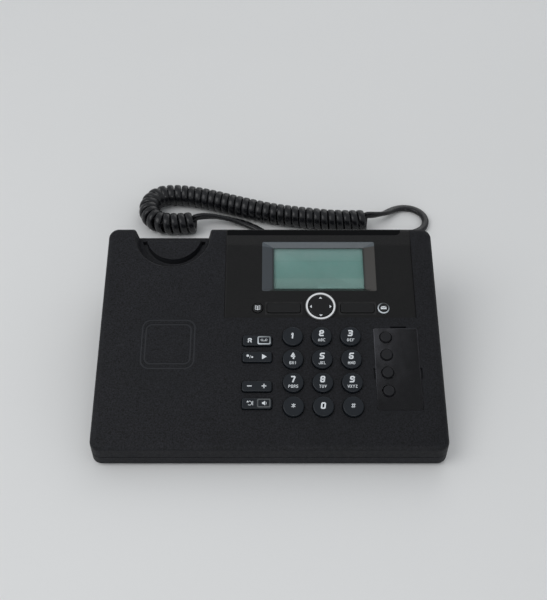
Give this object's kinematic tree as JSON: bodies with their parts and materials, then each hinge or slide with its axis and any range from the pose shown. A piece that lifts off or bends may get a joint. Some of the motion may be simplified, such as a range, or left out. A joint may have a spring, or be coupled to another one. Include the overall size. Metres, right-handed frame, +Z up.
{
  "type": "corded telephone base with answering machine",
  "caption": "Wedge-shaped black desk telephone base with handset cradle, display, keypad, navigation key, rocker keys, label window and a coiled handset cord.",
  "frame": {"origin": "middle of the base's footprint on the table, cord left out", "axes": "+X to the right, +Y to the rear where the sockets are, +Z up"},
  "size_m": [0.2414, 0.2649, 0.063],
  "materials": {
    "case_plastic": "fine spark-textured matt black",
    "panel_plastic": "smooth matt black, a shade browner than the case",
    "bezel_plastic": "semi-gloss dark grey",
    "display_glass": "clear display window",
    "lcd_cell": "grey-green reflective liquid crystal cell",
    "silver_trim": "satin silver",
    "key_plastic": "fine satin black with printed white legends",
    "light_guide": "translucent grey-white",
    "clear_cover": "clear moulded sheet",
    "label_paper": "dark card, unprinted",
    "silicone": "grey silicone",
    "circuit_board": "green solder mask",
    "switch_plastic": "black moulded socket plastic",
    "ribbon": "flat film cable",
    "driver_metal": "black pressed steel",
    "mic_metal": "electret capsule",
    "steel": "zinc-plated steel",
    "foot_rubber": "black soft rubber",
    "cord_jacket": "satin black cord jacket",
    "plug_plastic": "clear moulded plug"
  },
  "bodies": {
    "base": {"top_cover": "case_plastic", "bottom_case": "case_plastic", "display_panel": "panel_plastic", "lcd_bezel": "bezel_plastic", "lcd_window": "display_glass", "lcd_module": "lcd_cell", "nav_ring": "silver_trim", "message_light_ring": "light_guide", "label_window": "clear_cover", "label_card": "label_paper", "hook_spring": "steel", "hook_board": "circuit_board", "hook_switch": "switch_plastic", "keymat": "silicone", "key_board": "circuit_board", "main_board": "circuit_board", "board_cable": "ribbon", "loudspeaker": "driver_metal", "speaker_clamp": "driver_metal", "microphone": "mic_metal", "handset_jack": "switch_plastic", "line_jack": "switch_plastic", "power_jack": "switch_plastic", "case_screws": "steel", "board_screws": "steel", "rubber_feet": "foot_rubber", "base_plug": "plug_plastic", "handset_plug": "plug_plastic", "cord_lead": "cord_jacket", "cord_coil": "cord_jacket", "cord_tail": "cord_jacket"},
    "key_1": {"key_1": "key_plastic"},
    "key_2": {"key_2": "key_plastic"},
    "key_3": {"key_3": "key_plastic"},
    "key_4": {"key_4": "key_plastic"},
    "key_5": {"key_5": "key_plastic"},
    "key_6": {"key_6": "key_plastic"},
    "key_7": {"key_7": "key_plastic"},
    "key_8": {"key_8": "key_plastic"},
    "key_9": {"key_9": "key_plastic"},
    "key_star": {"key_star": "key_plastic"},
    "key_0": {"key_0": "key_plastic"},
    "key_hash": {"key_hash": "key_plastic"},
    "memory_key_1": {"memory_key_1": "key_plastic"},
    "memory_key_2": {"memory_key_2": "key_plastic"},
    "memory_key_3": {"memory_key_3": "key_plastic"},
    "memory_key_4": {"memory_key_4": "key_plastic"},
    "phonebook_key": {"phonebook_key": "key_plastic"},
    "message_key": {"message_key": "key_plastic"},
    "soft_key_left": {"soft_key_left": "key_plastic"},
    "soft_key_right": {"soft_key_right": "key_plastic"},
    "recall_loop_rocker": {"recall_loop_rocker": "key_plastic", "loop_light_frame": "light_guide"},
    "record_play_rocker": {"record_play_rocker": "key_plastic"},
    "volume_rocker": {"volume_rocker": "key_plastic"},
    "redial_speaker_rocker": {"redial_speaker_rocker": "key_plastic", "speaker_light_frame": "light_guide"},
    "nav_pivot": {"nav_pivot_ball": "steel"},
    "nav_key": {"nav_key": "key_plastic"},
    "hook_plate": {"hook_plate": "key_plastic"}
  },
  "joints": [
    {"name": "press_key_1", "type": "slide", "parent": "base", "child": "key_1", "axis": [0, -0.279, 0.9603], "range_m": [-0.0012, 0], "stiffness_N_per_m": 250, "springref_m": 0.0004, "deforming": ["keymat"]},
    {"name": "press_key_2", "type": "slide", "parent": "base", "child": "key_2", "axis": [0, -0.279, 0.9603], "range_m": [-0.0012, 0], "stiffness_N_per_m": 250, "springref_m": 0.0004, "deforming": ["keymat"]},
    {"name": "press_key_3", "type": "slide", "parent": "base", "child": "key_3", "axis": [0, -0.279, 0.9603], "range_m": [-0.0012, 0], "stiffness_N_per_m": 250, "springref_m": 0.0004, "deforming": ["keymat"]},
    {"name": "press_key_4", "type": "slide", "parent": "base", "child": "key_4", "axis": [0, -0.279, 0.9603], "range_m": [-0.0012, 0], "stiffness_N_per_m": 250, "springref_m": 0.0004, "deforming": ["keymat"]},
    {"name": "press_key_5", "type": "slide", "parent": "base", "child": "key_5", "axis": [0, -0.279, 0.9603], "range_m": [-0.0012, 0], "stiffness_N_per_m": 250, "springref_m": 0.0004, "deforming": ["keymat"]},
    {"name": "press_key_6", "type": "slide", "parent": "base", "child": "key_6", "axis": [0, -0.279, 0.9603], "range_m": [-0.0012, 0], "stiffness_N_per_m": 250, "springref_m": 0.0004, "deforming": ["keymat"]},
    {"name": "press_key_7", "type": "slide", "parent": "base", "child": "key_7", "axis": [0, -0.279, 0.9603], "range_m": [-0.0012, 0], "stiffness_N_per_m": 250, "springref_m": 0.0004, "deforming": ["keymat"]},
    {"name": "press_key_8", "type": "slide", "parent": "base", "child": "key_8", "axis": [0, -0.279, 0.9603], "range_m": [-0.0012, 0], "stiffness_N_per_m": 250, "springref_m": 0.0004, "deforming": ["keymat"]},
    {"name": "press_key_9", "type": "slide", "parent": "base", "child": "key_9", "axis": [0, -0.279, 0.9603], "range_m": [-0.0012, 0], "stiffness_N_per_m": 250, "springref_m": 0.0004, "deforming": ["keymat"]},
    {"name": "press_key_star", "type": "slide", "parent": "base", "child": "key_star", "axis": [0, -0.279, 0.9603], "range_m": [-0.0012, 0], "stiffness_N_per_m": 250, "springref_m": 0.0004, "deforming": ["keymat"]},
    {"name": "press_key_0", "type": "slide", "parent": "base", "child": "key_0", "axis": [0, -0.279, 0.9603], "range_m": [-0.0012, 0], "stiffness_N_per_m": 250, "springref_m": 0.0004, "deforming": ["keymat"]},
    {"name": "press_key_hash", "type": "slide", "parent": "base", "child": "key_hash", "axis": [0, -0.279, 0.9603], "range_m": [-0.0012, 0], "stiffness_N_per_m": 250, "springref_m": 0.0004, "deforming": ["keymat"]},
    {"name": "press_memory_key_1", "type": "slide", "parent": "base", "child": "memory_key_1", "axis": [0, -0.279, 0.9603], "range_m": [-0.0008, 0], "stiffness_N_per_m": 250, "springref_m": 0.0004, "deforming": ["keymat"]},
    {"name": "press_memory_key_2", "type": "slide", "parent": "base", "child": "memory_key_2", "axis": [0, -0.279, 0.9603], "range_m": [-0.0008, 0], "stiffness_N_per_m": 250, "springref_m": 0.0004, "deforming": ["keymat"]},
    {"name": "press_memory_key_3", "type": "slide", "parent": "base", "child": "memory_key_3", "axis": [0, -0.279, 0.9603], "range_m": [-0.0008, 0], "stiffness_N_per_m": 250, "springref_m": 0.0004, "deforming": ["keymat"]},
    {"name": "press_memory_key_4", "type": "slide", "parent": "base", "child": "memory_key_4", "axis": [0, -0.279, 0.9603], "range_m": [-0.0008, 0], "stiffness_N_per_m": 250, "springref_m": 0.0004, "deforming": ["keymat"]},
    {"name": "press_phonebook_key", "type": "slide", "parent": "base", "child": "phonebook_key", "axis": [0, -0.279, 0.9603], "range_m": [-0.0007, 0], "stiffness_N_per_m": 250, "springref_m": 0.0004, "deforming": ["keymat"]},
    {"name": "press_message_key", "type": "slide", "parent": "base", "child": "message_key", "axis": [0, -0.279, 0.9603], "range_m": [-0.0007, 0], "stiffness_N_per_m": 250, "springref_m": 0.0004, "deforming": ["keymat"]},
    {"name": "press_soft_key_left", "type": "slide", "parent": "base", "child": "soft_key_left", "axis": [0, -0.279, 0.9603], "range_m": [-0.0007, 0], "stiffness_N_per_m": 250, "springref_m": 0.0004, "deforming": ["keymat"]},
    {"name": "press_soft_key_right", "type": "slide", "parent": "base", "child": "soft_key_right", "axis": [0, -0.279, 0.9603], "range_m": [-0.0007, 0], "stiffness_N_per_m": 250, "springref_m": 0.0004, "deforming": ["keymat"]},
    {"name": "rock_recall_loop_rocker", "type": "hinge", "parent": "base", "child": "recall_loop_rocker", "pos_m": [-0.00815, -0.00655, 0.0352], "axis": [0, 0.9603, 0.279], "range_deg": [-2.5, 2.5], "stiffness_Nm_per_rad": 0.05, "deforming": ["keymat"]},
    {"name": "rock_record_play_rocker", "type": "hinge", "parent": "base", "child": "record_play_rocker", "pos_m": [-0.00815, -0.01778, 0.03194], "axis": [0, 0.9603, 0.279], "range_deg": [-2.5, 2.5], "stiffness_Nm_per_rad": 0.05, "deforming": ["keymat"]},
    {"name": "rock_volume_rocker", "type": "hinge", "parent": "base", "child": "volume_rocker", "pos_m": [-0.00815, -0.03747, 0.02622], "axis": [0, 0.9603, 0.279], "range_deg": [-2.5, 2.5], "stiffness_Nm_per_rad": 0.05, "deforming": ["keymat"]},
    {"name": "rock_redial_speaker_rocker", "type": "hinge", "parent": "base", "child": "redial_speaker_rocker", "pos_m": [-0.00815, -0.0487, 0.02295], "axis": [0, 0.9603, 0.279], "range_deg": [-2.5, 2.5], "stiffness_Nm_per_rad": 0.05, "deforming": ["keymat"]},
    {"name": "nav_tilt_up_down", "type": "hinge", "parent": "base", "child": "nav_pivot", "pos_m": [0.03425, 0.01895, 0.04063], "axis": [1, 0, 0], "range_deg": [-2.5, 2.5], "stiffness_Nm_per_rad": 0.05, "deforming": ["keymat"]},
    {"name": "nav_tilt_left_right", "type": "hinge", "parent": "nav_pivot", "child": "nav_key", "pos_m": [0.03425, 0.01895, 0.04063], "axis": [0, 0.9603, 0.279], "range_deg": [-2.5, 2.5], "stiffness_Nm_per_rad": 0.05, "deforming": ["keymat"]},
    {"name": "press_hook_plate", "type": "slide", "parent": "base", "child": "hook_plate", "axis": [0, 0, 1], "range_m": [-0.0013, 0], "stiffness_N_per_m": 400, "springref_m": 0.0008, "deforming": ["hook_spring"]}
  ]
}
